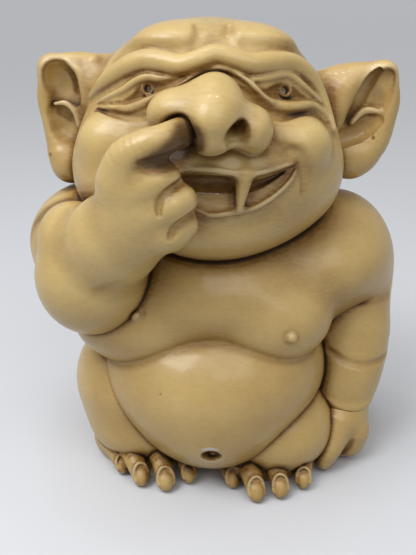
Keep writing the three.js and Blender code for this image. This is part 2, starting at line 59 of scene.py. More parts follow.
# The castings are blended lumps, rolls and creases that edit-mode tools can't give,
# so they are pressed up like clay: each form tells how far points lie outside its skin, in mm.
farAway = 60.0
lookAround = 30.0
sharp = 0.01  # a blend that leaves the edge
everywhere = ((-999,) * 3, (999,) * 3)
toolReach = {"skin": 14, "widths": 2.6, "proud": 3}
frontLine = np.arange(-150.0, 30.0, 0.4)  # where a front is looked for, front to back


class Clay:
    def __init__(self, skin, low, high, margin=lookAround):
        self.skin = skin
        self.low = np.array(low, float)
        self.high = np.array(high, float)
        self.margin = margin

    def at(self, points):
        near = ((points > self.low - self.margin) & (points < self.high + self.margin)).all(1)
        away = np.full(len(points), farAway)
        if near.any():
            away[near] = self.skin(points[near])
        return away


def marginFor(radius):  # how far around a small form its skin is worked out
    return min(lookAround, 10 + 2 * radius)


def turned(angles):  # degrees about x, then y, then z
    x, y, z = (math.radians(a) for a in angles)
    about = [
        [[1, 0, 0], [0, math.cos(x), -math.sin(x)], [0, math.sin(x), math.cos(x)]],
        [[math.cos(y), 0, math.sin(y)], [0, 1, 0], [-math.sin(y), 0, math.cos(y)]],
        [[math.cos(z), -math.sin(z), 0], [math.sin(z), math.cos(z), 0], [0, 0, 1]],
    ]
    return np.array(about[2]) @ np.array(about[1]) @ np.array(about[0])


def lump(middle, radii, turn=(0, 0, 0)):  # an egg of clay
    middle = np.array(middle, float)
    radii = np.ones(3) * np.array(radii, float)
    matrix = turned(turn)

    def skin(points):
        local = (points - middle) @ matrix
        near = np.linalg.norm(local / radii, axis=1)
        slope = np.linalg.norm(local / radii ** 2, axis=1)
        return near * (near - 1) / np.maximum(slope, 1e-6)

    reach = np.sqrt(((matrix * radii) ** 2).sum(1))
    return Clay(skin, middle - reach, middle + reach, marginFor(reach.max()))


def smoothRun(stops, steps):  # more stops on a smooth curve through the given ones
    stops = np.array(stops, float)
    if len(stops) < 3:
        return stops
    padded = np.vstack([2 * stops[0] - stops[1], stops, 2 * stops[-1] - stops[-2]])
    made = []
    for a, b, c, d in zip(padded, padded[1:], padded[2:], padded[3:]):
        for t in np.arange(steps) / steps:
            made.append(0.5 * (2 * b + (c - a) * t + (2 * a - 5 * b + 4 * c - d) * t ** 2
                               + (3 * b - a - 3 * c + d) * t ** 3))
    return np.array(made + [stops[-1]])


def alongRun(points, stops):  # distance to a run, and its radius at the nearest place
    best = np.full(len(points), 1e9)
    radius = np.zeros(len(points))
    skin = np.full(len(points), 1e9)
    for start, end in zip(stops, stops[1:]):
        along = end[:3] - start[:3]
        share = np.clip(((points - start[:3]) @ along) / max(along @ along, 1e-9), 0, 1)
        gap = np.linalg.norm(points - start[:3] - share[:, None] * along, axis=1)
        wide = start[3] + (end[3] - start[3]) * share
        closer = gap - wide < skin
        skin = np.where(closer, gap - wide, skin)
        best = np.where(closer, gap, best)
        radius = np.where(closer, wide, radius)
    return best, radius, skin


def roll(stops, steps=4, squash=(1, 1, 1)):  # a rolled sausage through (x, y, z, radius)
    squash = np.array(squash, float)
    run = smoothRun(stops, steps)
    low = (run[:, :3] - run[:, 3:] / squash).min(0)
    high = (run[:, :3] + run[:, 3:] / squash).max(0)
    run[:, :3] *= squash
    return Clay(lambda points: alongRun(points * squash, run)[2], low, high, marginFor(run[:, 3].max()))


def lumps(sizes):
    return [lump(*s) for s in sizes]


def rolls(sizes):
    return [roll(s) for s in sizes]


def softMin(a, b, blend):
    share = np.maximum(blend - np.abs(a - b), 0) / np.maximum(blend, 1e-6)
    return np.minimum(a, b) - share * share * blend / 4


def press(blend, *forms):  # forms pressed together with a fillet
    def skin(points):
        away = forms[0].at(points)
        for form in forms[1:]:
            away = softMin(away, form.at(points), blend)
        return away

    return Clay(skin, np.min([f.low for f in forms], 0), np.max([f.high for f in forms], 0))


def scoop(blend, form, *tools):  # tools scooped out of a form
    def skin(points):
        away = form.at(points)
        for tool in tools:
            away = -softMin(-away, tool.at(points), blend)
        return away

    return Clay(skin, form.low, form.high)


def tooled(form, *marks):  # creases and ridges drawn on the skin: (stops with widths, depth)
    marks = [(smoothRun(stops, 4), depth) for stops, depth in marks]

    def skin(points):
        away = form.at(points)
        close = np.abs(away) < toolReach["skin"]
        for run, depth in marks:
            reach = toolReach["widths"] * run[:, 3].max()
            low = run[:, :3].min(0) - reach
            high = run[:, :3].max(0) + reach
            near = close & (points > low).all(1) & (points < high).all(1)
            if near.any():
                gap, width, unused = alongRun(points[near], run)
                away[near] += depth * np.exp(-(gap / np.maximum(width, 0.1)) ** 2)
        return away

    return Clay(skin, form.low - toolReach["proud"], form.high + toolReach["proud"])


def filleted(form, other, sizes):  # a form with clay smeared on to its neighbour, more of it higher up
    def skin(points):
        rise = np.clip((points[:, 2] - sizes["from"]) / (sizes["to"] - sizes["from"]), 0, 1)
        blend = sizes["least"] + sizes["blend"] * rise
        away = form.at(points)
        return np.maximum(softMin(away, other.at(points), blend), away - blend + sizes["short"])

    return Clay(skin, form.low, form.high)


def level(height):  # everything above a level
    return Clay(lambda points: height - points[:, 2], *everywhere)


def beyond(point, normal):  # everything on the far side of a plane
    normal = np.array(normal, float) / np.linalg.norm(normal)
    return Clay(lambda points: (np.array(point) - points) @ normal, *everywhere)


def within(form, *limits):  # what of a form is inside its limits
    def skin(points):
        return np.max([form.at(points)] + [limit.at(points) for limit in limits], 0)

    return Clay(skin, form.low, form.high)


def cutBack(form, gap, *neighbours):  # a form cut back from what it is bonded to
    def skin(points):
        return np.max([form.at(points)] + [gap - n.at(points) for n in neighbours], 0)

    return Clay(skin, form.low, form.high)


def onFront(form, places, lift=0.0):  # (x, z, radius) laid on the front of a form
    laid = []
    for x, z, radius in places:
        line = np.stack([np.full_like(frontLine, x), frontLine, np.full_like(frontLine, z)], 1)
        away = form.at(line)
        inside = away < 0
        first = np.argmax(inside) if inside.any() else np.argmin(away)
        laid.append((x, frontLine[first] - lift, z, radius))
    return laid


def creases(form, sizes, *keys):  # the named creases laid on a form, each with its depth
    return [(onFront(form, sizes[key]), sizes["depth"][key]) for key in keys]


def pinholes(form, places):  # air bubbles at (x, z, radius) on the front of a form
    return [lump((x, y, z), radius) for x, y, z, radius in onFront(form, places)]


def outward(form, point):  # which way a form's skin faces at a point
    away = form.at(np.array(point, float) + 0.5 * np.vstack([np.eye(3), -np.eye(3)]))
    slope = away[:3] - away[3:]
    return slope / np.linalg.norm(slope)


def ringAbout(middle, facing, radius, thick):  # the stops of a ring that faces one way
    facing = facing / np.linalg.norm(facing)
    side = np.cross(facing, (0, 0, 1))
    side /= np.linalg.norm(side)
    rise = np.cross(side, facing)
    turns = np.linspace(0, 2 * math.pi, 17)
    return [(*(middle + radius * (math.cos(a) * side + math.sin(a) * rise)), thick) for a in turns]


# Head

headSizes = {
    "skull": [
        ((0, 8, 240), (71, 68, 56)), ((0, -14, 258), (62, 46, 34)),
        ((-46, -16, 208), (42, 48, 44)), ((46, -16, 208), (42, 48, 44)),
        ((4, -46, 184), (48, 36, 28)), ((4, -54, 214), (46, 30, 28)), ((0, 20, 205), (72, 52, 44)),
    ],
    "frowns": [((-22, -31, 283), (18, 14, 10)), ((30, -29, 282), (18, 14, 10))],
    "apples": [((53, -53, 229), (20, 15, 15)), ((-60, -42, 229), (18, 15, 15))],
    "aboveBrow": [(-58, 273, 3), (-48, 280, 4), (-34, 284, 4.5), (-14, 283, 5), (4, 286, 4.5), (22, 284, 5),
                  (40, 283, 4.5), (54, 279, 4), (63, 271, 3)],
    "rightFurrow": [(-6, 295, 2.4), (-5, 290, 3.2), (-7, 284, 3.8)],
    "leftFurrow": [(12, 295, 2.4), (12, 290, 3.2), (14, 284, 3.8)],
    "brow": [(-71, 254, 3), (-61, 263, 5), (-48, 271.5, 6.4), (-36, 276, 6.8), (-25, 275.5, 6.6),
             (-15, 274, 6.6), (-6, 276, 6.8), (4, 279, 7), (14, 277, 6.8), (24, 274.5, 6.6), (36, 275, 6.6),
             (48, 274, 6.4), (58, 268, 6), (66, 258, 5), (72, 246, 4), (76, 235, 3)],
    "nose": [(4, -57, 260, 7), (4, -66, 259.5, 11.5), (3.5, -75, 256.3, 16), (3.5, -82, 250, 18.3)],
    "noseFold": [(-18.2, 263.3, 1.2), (-12.3, 266.3, 1.5), (-6.2, 270.1, 1.8), (-0.6, 272.4, 2),
                 (5, 273, 2), (10.1, 272.4, 2), (14.8, 270.6, 1.9), (22, 266.4, 1.8), (27, 262, 1.8),
                 (31.5, 257.6, 1.8), (37, 254, 1.6)],
    "noseLobe": [(1.2, -93, 247, 11.4), (0.8, -93, 241.5, 9.8)],
    "alae": [((25.5, -77, 242), (10.5, 18, 13)), ((-15, -76, 254), (15, 16, 10.5)),
             ((-22.5, -75, 249), (10.5, 14, 8.4))],
    "nostril": [(14.8, -112, 233, 4.6), (14.8, -101, 240.5, 5.6), (14.6, -88, 246.5, 5.6),
                (14.4, -80, 248, 4.4)],
    "nostrilFoot": [(15.4, -99, 242, 4), (16, -94, 232, 4.2), (16, -86, 225, 4.6)],
    "fingerHole": [(-28, -112, 237.5, 7), (-22, -103, 239.5, 8.6), (-14, -93, 242, 10),
                   (-8, -85, 244, 9.5)],
    "mouthShelf": [(-20, -87, 209, 9), (-8.5, -89, 209.5, 13), (1.7, -91.5, 208.1, 15),
                   (10.4, -91, 207.9, 13.7), (18, -89.6, 207.9, 12.3), (27, -87, 208.8, 11.1),
                   (36, -82.9, 211.6, 9.3), (45, -76.4, 215.7, 6.1), (50.5, -70.5, 219.5, 2.3)],
    "mouth": [(-20, -76, 211.5, 4.6), (-5, -77, 211.5, 5.2), (8, -77, 211.3, 5.2), (16, -76, 210.6, 4.6),
              (26, -74.5, 210, 3), (36, -72, 213.2, 1.6), (44, -68.5, 216.8, 0.7)],
    "upperLip": [(-15.4, 218.7, 1.2), (-8.5, 221, 1.5), (1.7, 221.3, 1.7), (10.3, 220, 1.7),
                 (17.2, 218.8, 1.7), (25.8, 218.6, 1.7), (34.7, 219.6, 1.6), (43.9, 221, 1.4),
                 (50, 221.7, 1)],
    "lowerLip": [(-12, 200, 1.2), (-4.3, 196.7, 1.5), (1.7, 194.9, 1.6), (10.5, 195.8, 1.6),
                 (19.3, 197.2, 1.6), (28.1, 199.3, 1.6), (37, 204, 1.5), (46, 211, 1.3), (51, 218, 1)],
    "tooth": [(20.3, -80, 217, 5.6), (19.6, -82.6, 211, 4.1), (18.4, -84, 203, 2.8),
              (17.9, -84.4, 199.5, 2.2)],
    "cheekCrease": [(48, 229, 2), (52.5, 226.5, 3.2), (55, 221, 3.2), (56.5, 213, 2.6), (56, 204.6, 1.8)],
    "lipCorner": [(36, 232, 4), (43, 229, 4), (50, 229, 3)],
    "underLip": [(-8, 190, 5), (4, 187, 6), (22, 187, 6), (38, 194, 4)],
    "mouthSquash": (1, 0.7, 1),
    "blend": {"skull": 24, "frowns": 18, "apples": 10, "brow": 1.8, "noseFold": 1, "nose": 10,
              "nostrils": 3, "noseRoot": 2.5, "mouth": 1.2, "lips": 1.4, "tooth": 3.5},
    "lift": {"brow": 0.3, "noseFold": 0.8, "upperLip": 0.3, "lowerLip": 0.2},
    "depth": {"aboveBrow": 3.6, "leftFurrow": 2.2, "rightFurrow": 2.2, "cheekCrease": 2.4, "lipCorner": 1.4,
              "underLip": 1.4},
}
eyes = {
    "left": {
        "pupil": (45.3, 260.3), "ring": 3.2, "hole": 2.3,
        "opening": [(30, 260.7, 0.8), (34.5, 259.3, 2.5), (39.5, 259.5, 4.3), (43, 259.3, 5.1),
                    (47.5, 258.4, 5), (51.7, 256.8, 3.7), (55.7, 255, 2.3), (60.8, 253, 1)],
        "upperLid": [(18, 268.6, 1.2), (22.3, 267.2, 1.8), (27.3, 266.7, 2.4), (33.9, 267.5, 2.8),
                     (39.9, 268.5, 3), (45.4, 268.3, 3), (50.2, 265.8, 2.9), (55.1, 262, 2.6),
                     (60.9, 257.3, 2.3), (66.3, 252.5, 2), (71.9, 246.7, 1.8), (76.7, 240.2, 1.5),
                     (79.6, 235.3, 1.2), (81.5, 230, 0.8)],
        "lowerLid": [(19.4, 265.6, 1.2), (25.2, 260.5, 2), (31, 256.3, 2.9), (37, 252.9, 3.7),
                     (43.8, 250.7, 4.3), (51.6, 250, 4.3), (59.8, 250.2, 3.6), (66, 247.4, 3),
                     (72, 241.6, 2.4), (76.5, 235.4, 1.8), (79.5, 229, 1)],
        "lowerSink": 2.2,
        "bag": [(18, 262.7, 1.2), (22.3, 259.3, 1.6), (28.1, 253.7, 2), (34.8, 249, 2.2),
                (42.2, 245.6, 2.4), (50, 245.2, 2.4), (58.9, 245.6, 2.2), (65.6, 243.4, 2),
                (71.8, 238.3, 1.4)],
        "tails": [[(68, 247, 0.8), (73, 241.8, 1), (78, 234, 0.9), (80.5, 228, 0.7)],
                  [(66, 256, 0.8), (72.5, 249, 1), (77.5, 241, 0.9), (81, 232, 0.7)]],
    },
    "right": {
        "pupil": (-34.9, 261.8), "ring": 3.0, "hole": 2.2,
        "opening": [(-50, 252.8, 1), (-42.6, 255.8, 2.9), (-38.5, 259, 4.1), (-36, 260.4, 4.4),
                    (-33, 261.8, 4.3), (-30, 262.1, 3.3), (-25.7, 262.9, 2.1), (-21.4, 264.3, 1.4),
                    (-15.7, 267.4, 0.8)],
        "upperLid": [(-66.9, 250.9, 1), (-58.1, 255.7, 1.9), (-49.9, 259.5, 2.5), (-43.6, 263.6, 2.8),
                     (-38.2, 266.6, 2.9), (-33, 267.8, 2.8), (-27.2, 267.2, 2.6), (-21.4, 267.4, 2.1),
                     (-15, 268.9, 1.2)],
        "lowerLid": [(-63.9, 249.2, 1.2), (-53.8, 249.8, 2.3), (-46, 250, 3.1), (-39.9, 252, 3.3),
                     (-34.6, 254.3, 3.1), (-28.7, 257.4, 2.7), (-21.4, 261.5, 2.2), (-15, 266.1, 1.5),
                     (-9.5, 268.9, 1)],
        "lowerSink": 1.3,
        "bag": [(-66.6, 247, 1.2), (-57.9, 246.6, 1.6), (-47.5, 245.8, 2), (-39.9, 246, 2),
                (-35.4, 246.6, 1.4)],
        "tails": [[(-66, 250.4, 0.6), (-60, 251.6, 0.7), (-52, 252.6, 0.8)]],
    },
    "ball": 8.0, "ballSink": 0.7, "lidSink": 0.6, "openingLift": 0.9, "gazeLean": (0, -1, 0.1),
    "bagDepth": 2, "tailDepth": 1.1, "ringAt": 7, "ringThick": 1, "holeRun": (12, 5), "chipAt": 2.4,
    "blend": {"opening": 0.8, "ball": 0.4, "lids": 0.8, "ring": 0.5, "hole": 0.3},
}
headBlend = headSizes["blend"]
eyeBlend = eyes["blend"]
skull = press(headBlend["skull"], *lumps(headSizes["skull"]))


def faceRoll(key):  # a roll of clay laid along the face
    return roll(onFront(skull, headSizes[key], headSizes["lift"][key]))


head = press(headBlend["frowns"], skull, *lumps(headSizes["frowns"]))
head = press(headBlend["apples"], head, *lumps(headSizes["apples"]))
head = tooled(head, *creases(head, headSizes, "aboveBrow", "rightFurrow", "leftFurrow"))
head = press(headBlend["brow"], head, faceRoll("brow"))
pupils = []
for eye in (eyes["left"], eyes["right"]):
    (x, y, z, unused), = onFront(skull, [(*eye["pupil"], 0)])
    gaze = outward(skull, (x, y, z)) + np.array(eyes["gazeLean"])
    gaze /= np.linalg.norm(gaze)
    ball = np.array((x, y, z)) - gaze * (eyes["ball"] + eyes["ballSink"])
    tails = [(onFront(skull, t), eyes["tailDepth"]) for t in eye["tails"]]
    head = tooled(head, (onFront(skull, eye["bag"]), eyes["bagDepth"]), *tails)
    head = scoop(eyeBlend["opening"], head, roll(onFront(skull, eye["opening"], eyes["openingLift"])))
    head = press(eyeBlend["ball"], head, lump(ball, eyes["ball"]))
    head = press(eyeBlend["lids"], head, roll(onFront(skull, eye["upperLid"], -eyes["lidSink"])))
    head = press(eyeBlend["lids"], head, roll(onFront(skull, eye["lowerLid"], -eye["lowerSink"])))
    ring = ringAbout(ball + gaze * eyes["ringAt"], gaze, eye["ring"], eyes["ringThick"])
    head = press(eyeBlend["ring"], head, roll(ring, 2))
    head = scoop(eyeBlend["hole"], head, roll([(*(ball + gaze * d), eye["hole"]) for d in eyes["holeRun"]]))
    pupils.append(lump(ball + gaze * eyes["chipAt"], eye["hole"]))
head = press(headBlend["noseFold"], head, faceRoll("noseFold"))
noseBody = press(headBlend["nose"], roll(headSizes["nose"]), roll(headSizes["noseLobe"]),
                 *lumps(headSizes["alae"]))
holes = [headSizes[key] for key in ("nostril", "nostrilFoot", "fingerHole")]
noseBody = scoop(headBlend["nostrils"], noseBody, *rolls(holes))
head = press(headBlend["noseRoot"], head, noseBody)
throat = roll(headSizes["mouth"], squash=headSizes["mouthSquash"])
head = scoop(headBlend["mouth"], head, roll(headSizes["mouthShelf"]), throat)
head = press(headBlend["lips"], head, faceRoll("upperLip"), faceRoll("lowerLip"))
head = press(headBlend["tooth"], head, roll(headSizes["tooth"]))
head = tooled(head, *creases(head, headSizes, "cheekCrease"),
              *creases(skull, headSizes, "lipCorner", "underLip"))
print("head shaped")

# Ears

earSizes = {
    "left": {
        "leaf": [
            [(76, 12, 253.5, 12), (92, 9, 260, 8.5), (106, 5, 264, 7.5), (114, 3, 264.5, 7)],
            [(115, 2, 264, 7), (120, 1, 250, 6), (118.5, 2, 236, 6.5), (112, 4, 218, 9), (98, 6, 207, 11)],
        ],
        "body": [((94, 13, 236), (29, 13, 33))],
        "root": [[(100, 6, 262, 7), (90, 4, 254, 9.5), (85, 3, 242, 10), (80, 2, 230, 8)]],
        "crest": [],
        "lobes": [((95, 4, 209), (19, 11, 13))],
        "cups": [[(115, -5, 263, 4.5), (111, -7, 256, 8), (106.5, -8, 247, 10.5), (101.5, -7, 238, 10)]],
        "slots": [[(110, -3, 267, 2), (105.5, -1, 261, 4), (101, 0.5, 250.5, 5), (96.5, 0.5, 239.5, 5),
                   (91.5, 0, 230.5, 4)],
                  [(84, -4, 221.5, 4.5), (92.5, -1, 224.5, 6.3), (102, -1, 229, 6.5),
                   (111, -4, 235.5, 4.5)]],
        "folds": [[(115, 0, 240.5, 1.6), (106, 1.6, 241.6, 2.6), (101, 2, 239.5, 2.6),
                   (95.5, 2, 233.5, 2)]],
        "pinholes": [(109.5, 224, 1)],
    },
    "right": {
        "leaf": [
            [(-62, 10, 264, 12), (-84, 6, 269, 9), (-100, 3, 268.5, 8)],
            [(-102, 2, 267, 7), (-107.5, 1, 250, 4.5), (-104.5, 1, 232, 5), (-100, 0, 216, 8)],
        ],
        "body": [((-86, 12, 236), (24, 13, 36))],
        "root": [],
        "crest": [[(-74, 3, 270, 7), (-72, -1, 258, 8), (-73, -2, 246, 7), (-76, -2, 234, 6),
                   (-76, -1, 222, 6)]],
        "lobes": [((-93, 0, 207), (13.5, 13, 14))],
        "cups": [[(-96, -6, 264, 9), (-93, -7, 260, 11.5), (-88.5, -6, 254, 8)],
                 [(-97, -6, 239.5, 7.5), (-94, -7, 233, 9.5)]],
        "slots": [[(-93, -2, 268, 4), (-86.5, 0, 264, 5), (-84.5, 0, 256, 5)],
                  [(-96, 0, 241, 4), (-90.5, 0, 238, 4.5)]],
        "pinholes": [(-105, 213.5, 1)],
        "folds": [[(-90, -2, 273, 1.6), (-82.5, -4, 266, 2.2), (-80, -4.5, 256, 2),
                   (-79.5, -4.5, 248, 1.8)],
                  [(-100, -2, 246.3, 1.2), (-93, -3, 246.8, 1.8), (-87, -4, 242, 2.2),
                   (-84, -4.5, 233, 2.4)]],
    },
    "fillet": {"blend": 9.0, "least": 0.1, "short": 0.2, "from": 240.0, "to": 258.0},
    "blend": {"leaf": 9, "lobes": 6, "root": 6, "cups": 4, "slots": 1, "crest": 8, "folds": 1.6,
              "pinholes": 0.3},
}
earBlend = earSizes["blend"]
ears = {}
for side in ("left", "right"):
    sizes = earSizes[side]
    ear = press(earBlend["leaf"], *rolls(sizes["leaf"]), *lumps(sizes["body"]))
    ear = press(earBlend["lobes"], ear, *lumps(sizes["lobes"]))
    ear = press(earBlend["root"], ear, *rolls(sizes["root"]))
    ear = scoop(earBlend["cups"], ear, *rolls(sizes["cups"]))
    ear = scoop(earBlend["slots"], ear, *rolls(sizes["slots"]))
    folds = press(earBlend["crest"], *rolls(sizes["crest"]), *rolls(sizes["folds"]))
    ear = press(earBlend["folds"], ear, folds)
    ear = scoop(earBlend["pinholes"], ear, *pinholes(ear, sizes["pinholes"]))
    ears[side] = filleted(ear, head, earSizes["fillet"])
print("ears shaped")

# Torso

leftShoulder = ((90, 12, 128), (46, 42, 57))
torsoSizes = {
    "belly": [((3, -16, 70), (82, 84, 56)), ((4, -28, 42), (52, 64, 42)), ((0, 20, 48), (86, 74, 62))],
    "blend": {"belly": 24, "chest": 22, "fold": 2.5, "nipples": 1.2, "navel": 1, "pinholes": 0.3},
    "chest": [
        ((0, 5, 138), (88, 64, 50)), ((40, -43, 115), (42.5, 39, 33)), ((-42, -43, 114), (48, 38, 33)),
        ((0, -30, 133), (50, 50, 31)), leftShoulder, ((-62, 14, 138), (42, 42, 46)),
        ((80, -14, 142), (38, 36, 26)),
    ],
    "navel": {"place": (2, 38), "deep": 1, "radii": (6, 8, 4.6), "knot": (1.5, 6, -1),
              "knotRadii": (2.6, 2.6, 1.6)},
    "nipples": {"places": [(52, 115, 0), (-44.5, 129, 0)], "radii": (3.4, 3, 3.2), "proud": 0.4,
                "halo": 5, "haloWidth": 1.1, "haloDepth": 0.6},
    "rebate": {"radius": 36.2, "deep": 8.2},
    "pinholes": [(30, 76, 0.5), (-30, 81, 0.6), (-4, 62, 0.6), (-5, 47, 0.7), (-4, 45.5, 0.6), (4, 53, 0.6),
                 (8, 54, 0.5)],
}
torsoBlend = torsoSizes["blend"]
belly = press(torsoBlend["belly"], *lumps(torsoSizes["belly"]))
chest = press(torsoBlend["chest"], *lumps(torsoSizes["chest"]))
torso = press(torsoBlend["fold"], belly, chest)
nipples = torsoSizes["nipples"]
for x, y, z, unused in onFront(torso, nipples["places"]):
    turns = np.linspace(0, 2 * math.pi, 13)
    ring = [(x + nipples["halo"] * math.cos(a), y, z + nipples["halo"] * math.sin(a), nipples["haloWidth"])
            for a in turns]
    torso = tooled(torso, (ring, nipples["haloDepth"]))
    torso = press(torsoBlend["nipples"], torso, lump((x, y - nipples["proud"], z), nipples["radii"]))
navel = torsoSizes["navel"]
(x, y, z, unused), = onFront(torso, [(*navel["place"], 0)])
torso = scoop(torsoBlend["navel"], torso, lump((x, y + navel["deep"], z), navel["radii"]))
torso = press(torsoBlend["navel"], torso, lump(np.array((x, y, z)) + navel["knot"], navel["knotRadii"]))
torso = scoop(torsoBlend["pinholes"], torso, *pinholes(torso, torsoSizes["pinholes"]))
print("torso shaped")

# Arms and hands

armSizes = {
    "leftUpper": [(98, 4, 112, 30), (102, -8, 92, 30.5), (102, -14, 78, 27.5)],
    "leftFore": [(102, -16, 74, 28), (98.5, -24, 60, 26.5), (96.5, -31, 44, 21.5)],
    "leftFist": [(96.5, -33, 40, 20), (96.5, -38, 28, 19.2), (98, -40, 20, 15)],
    "leftThumb": [(92, -48, 32, 13), (85, -57, 18, 10), (81.5, -61, 9, 6.5)],
    "leftFingers": [[(106, -46, 22, 9), (103, -46, 12, 8.5), (98, -44, 8.6, 7.4)]],
    "blend": {"elbow": 3, "shoulder": 12, "thumb": 3, "leftFingers": 6, "palm": 9, "fingers": 5,
              "notch": 1.4, "forearm": 12, "upperArm": 0.6},
    "depth": {"leftElbow": 2.4, "leftWrist": -2, "armpit": 4, "shoulderLine": 1.6, "leftGrip": 2.4,
              "upperCrease": 4, "lowerCrease": 4, "elbowDimple": 1.0},
    "armpit": [(80, 119, 1.6), (88, 118, 2), (98, 118.5, 2.2), (108, 118.5, 2.4)],
    "shoulderLine": [(98, 118.5, 2.2), (108, 118.5, 2.4), (118, 117.5, 2.6), (127, 116, 2.8)],
    "leftSeam": {"point": (106, -20, 118), "normal": (0.05, 0.25, 1)},
    "leftElbow": [(84, 83, 1.6), (95, 78.5, 2.2), (106, 76, 2.2), (116, 75, 2), (126, 76, 1.4)],
    "leftWrist": [(79, 53, 1.5), (87, 48, 2.2), (96, 45.5, 2.4), (106, 44.5, 2.4), (115, 46, 1.8)],
    "rightUpper": [(-84, 18, 153, 37), (-87, -12, 156.5, 34.5), (-86, -28, 150, 30)],
    "rightFore": [((-72, -60, 149), (36, 36, 38)), ((-79, -60, 175), (21, 22, 19)),
                  ((-87, -58, 179), (12, 17, 12)),
                  ((-54, -82, 180), (28, 24, 28))],
    "palm": ((-37, -95, 204), (24.5, 18, 31)),
    "index": [(-46, -98, 220, 12.5), (-42, -102, 231, 11.2), (-32, -105.5, 238, 9.4), (-23, -104, 241, 8.6),
              (-14.5, -94, 243.5, 8)],
    "fingers": [
        [(-38, -99, 212, 12), (-29, -105.5, 218.5, 10.2), (-22.5, -103, 221, 8.2)],
        [(-34, -99, 199, 12), (-22, -105.5, 205.5, 10.4), (-14.5, -102, 208.5, 9)],
        [(-31, -95, 188, 12), (-21, -102, 190.5, 11), (-14.8, -99.5, 194, 9.4)],
    ],
    "upperCrease": [(-14, 219.5, 1.5), (-20, 216.5, 1.6), (-24, 212.5, 1.5), (-25.7, 208, 1.3),
                    (-25.5, 204.5, 1)],
    "lowerCrease": [(-5, 203.5, 1.5), (-12, 200.5, 1.6), (-17, 196.5, 1.5), (-19.5, 193, 1.3),
                    (-20.2, 190.5, 1)],
    "notch": [(-35.5, -114, 231.6, 0.5), (-30, -113, 231.8, 1.8), (-22, -110, 232.4, 3.6),
              (-12, -103, 233.6, 5.4)],
    "elbowDimple": [(-63, 153, 3), (-52, 157, 4.5)],
    "leftGrip": [(92, 5, 1.6), (97, 13, 2.2), (101, 21, 1.6)],
}
armBlend = armSizes["blend"]
leftArm = press(armBlend["elbow"], roll(armSizes["leftUpper"]), roll(armSizes["leftFore"]))
leftArm = tooled(leftArm, *creases(leftArm, armSizes, "leftElbow", "leftWrist"))
leftArm = press(armBlend["shoulder"], leftArm, lump(*leftShoulder))
leftArm = tooled(leftArm, *creases(leftArm, armSizes, "armpit", "shoulderLine"))
leftHand = press(armBlend["thumb"], roll(armSizes["leftFist"]), roll(armSizes["leftThumb"]))
leftHand = press(armBlend["leftFingers"], leftHand, *rolls(armSizes["leftFingers"]))
leftHand = tooled(leftHand, *creases(leftHand, armSizes, "leftGrip"))
rightHand = press(armBlend["palm"], lump(*armSizes["palm"]), roll(armSizes["index"]))
rightHand = press(armBlend["fingers"], rightHand, *rolls(armSizes["fingers"]))
rightHand = tooled(rightHand, *creases(rightHand, armSizes, "upperCrease", "lowerCrease"))
rightHand = scoop(armBlend["notch"], rightHand, roll(armSizes["notch"]))
rightFore = press(armBlend["forearm"], *lumps(armSizes["rightFore"]))
rightWhole = press(armBlend["forearm"], rightFore, rightHand)
rightWhole = tooled(rightWhole, *creases(rightWhole, armSizes, "elbowDimple"))
rightWhole = press(armBlend["upperArm"], roll(armSizes["rightUpper"]), rightWhole)
print("arms and hands shaped")

# Legs and feet

legSizes = {
    "left": {
        "thigh": [((50, -26, 32), (44, 50, 34)), ((46, -49, 27), (37, 35, 26))],
        "foot": ((42, -42, 8), (36, 34, 19)),
        "toes": [(18.5, -85, 18, 4.7), (33.3, -97.5, 14, 5.4), (48.9, -94.5, 8, 5.2), (64.1, -86, -6, 4.7)],
    },
    "right": {
        "thigh": [((-54, -18, 55), (42, 51, 43)), ((-47, -38, 27.5), (36, 32, 26))],
        "foot": ((-44, -27, 9), (41, 36, 20)),
        "toes": [(-56.7, -69.5, 32, 4.6), (-43.1, -82, 27, 5.2), (-27.2, -87, 15, 5.5),
                 (-11.6, -80, 18, 4.7)],
    },
    "shaft": [(30, 13.5, 3.2), (20, 13.5, 2.2), (13, 10.8, 1.3), (8.5, 7.4, 0.5), (5.9, 5.2, 0)],
    "nail": {"back": 6.2, "height": 7.9, "radii": (1.04, 1.45, 0.9), "slope": 45},
    "cuticle": {"across": 1.02, "along": 1.45, "low": 1.0, "rise": 4, "thick": 1.2, "turns": (-25, 205)},
    "wrinkles": {"places": [(16.5, 0.9), (19.5, 0.9), (23, 0.7)], "height": 18, "wider": 3, "width": 1.0,
                 "across": (-1, -0.4, 0.4, 1)},
    "blend": {"thigh": 14, "toe": 1.4, "cuticle": 0.8, "nail": 0.2},
}
legBlend = legSizes["blend"]
plate = legSizes["nail"]
rim = legSizes["cuticle"]
wrinkle = legSizes["wrinkles"]
slope = math.radians(plate["slope"])


